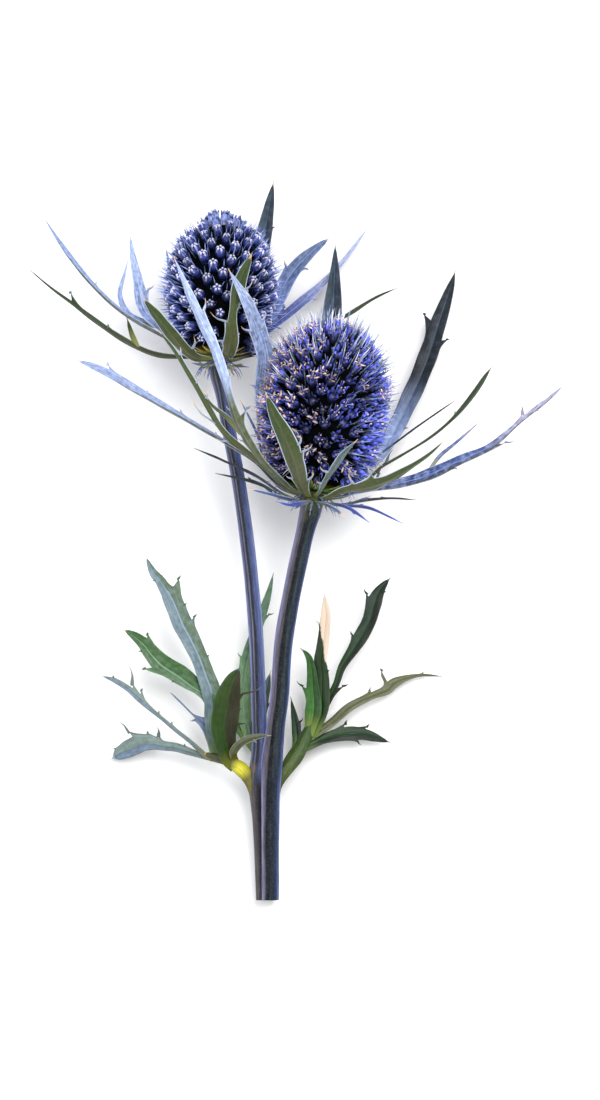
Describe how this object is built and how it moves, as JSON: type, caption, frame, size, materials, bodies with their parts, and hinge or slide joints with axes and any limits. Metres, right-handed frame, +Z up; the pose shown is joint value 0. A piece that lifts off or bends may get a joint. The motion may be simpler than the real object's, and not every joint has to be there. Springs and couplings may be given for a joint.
{
  "type": "sea holly stem",
  "caption": "Cut forked sea holly stem lying on its back, with egg-shaped flower heads in ruffs of spiny bracts, and lobed leaves at the fork.",
  "frame": {"origin": "middle of the plant's footprint, on the surface that it lies on", "axes": "+Y along the stem from its cut end to the flower heads, +X to the right of the plant seen from above, +Z up, away from the surface"},
  "size_m": [0.1182, 0.1594, 0.0481],
  "materials": {
    "stem": "waxy slate blue with fine lengthwise ribs and violet streaks",
    "open_florets": "violet blue open florets with cream anthers",
    "closed_florets": "dark indigo closed florets with pale star-shaped crowns",
    "front_bract": "waxy silver blue inside, olive outside, pale spiny edges",
    "back_bract": "waxy silver blue inside, olive outside, pale spiny edges",
    "leaf": "green to grey-green, pale veins, spiny edges"
  },
  "bodies": {
    "root": {"back_bract_front_left": "back_bract", "back_bract_front_right": "back_bract", "back_bract_left_forked": "back_bract", "back_bract_left_olive": "back_bract", "back_bract_left_pale": "back_bract", "back_bract_rear_left": "back_bract", "back_bract_rear_middle": "back_bract", "back_bract_rear_tall": "back_bract", "back_bract_right_broad": "back_bract", "back_bract_right_long": "back_bract", "back_bract_right_low": "back_bract", "back_flower_head": "closed_florets", "back_short_bract_01": "back_bract", "back_short_bract_02": "back_bract", "back_short_bract_03": "back_bract", "back_short_bract_04": "back_bract", "back_short_bract_05": "back_bract", "back_short_bract_06": "back_bract", "forked_stem": "stem", "front_bract_front_broad": "front_bract", "front_bract_front_short": "front_bract", "front_bract_left_long": "front_bract", "front_bract_left_olive": "front_bract", "front_bract_left_sweeping": "front_bract", "front_bract_left_thread": "front_bract", "front_bract_rear_left": "front_bract", "front_bract_rear_tall": "front_bract", "front_bract_right_great": "front_bract", "front_bract_right_olive": "front_bract", "front_bract_right_slim_olive": "front_bract", "front_bract_right_tall": "front_bract", "front_bract_right_thread": "front_bract", "front_flower_head": "open_florets", "front_short_bract_01": "front_bract", "front_short_bract_02": "front_bract", "front_short_bract_03": "front_bract", "front_short_bract_04": "front_bract", "front_short_bract_05": "front_bract", "front_short_bract_06": "front_bract", "front_short_bract_07": "front_bract", "front_short_bract_08": "front_bract", "front_short_bract_09": "front_bract", "front_short_bract_10": "front_bract", "front_short_bract_11": "front_bract", "front_short_bract_12": "front_bract", "left_leaf": "leaf", "rear_leaf": "leaf", "right_leaf": "leaf"}
  },
  "joints": []
}
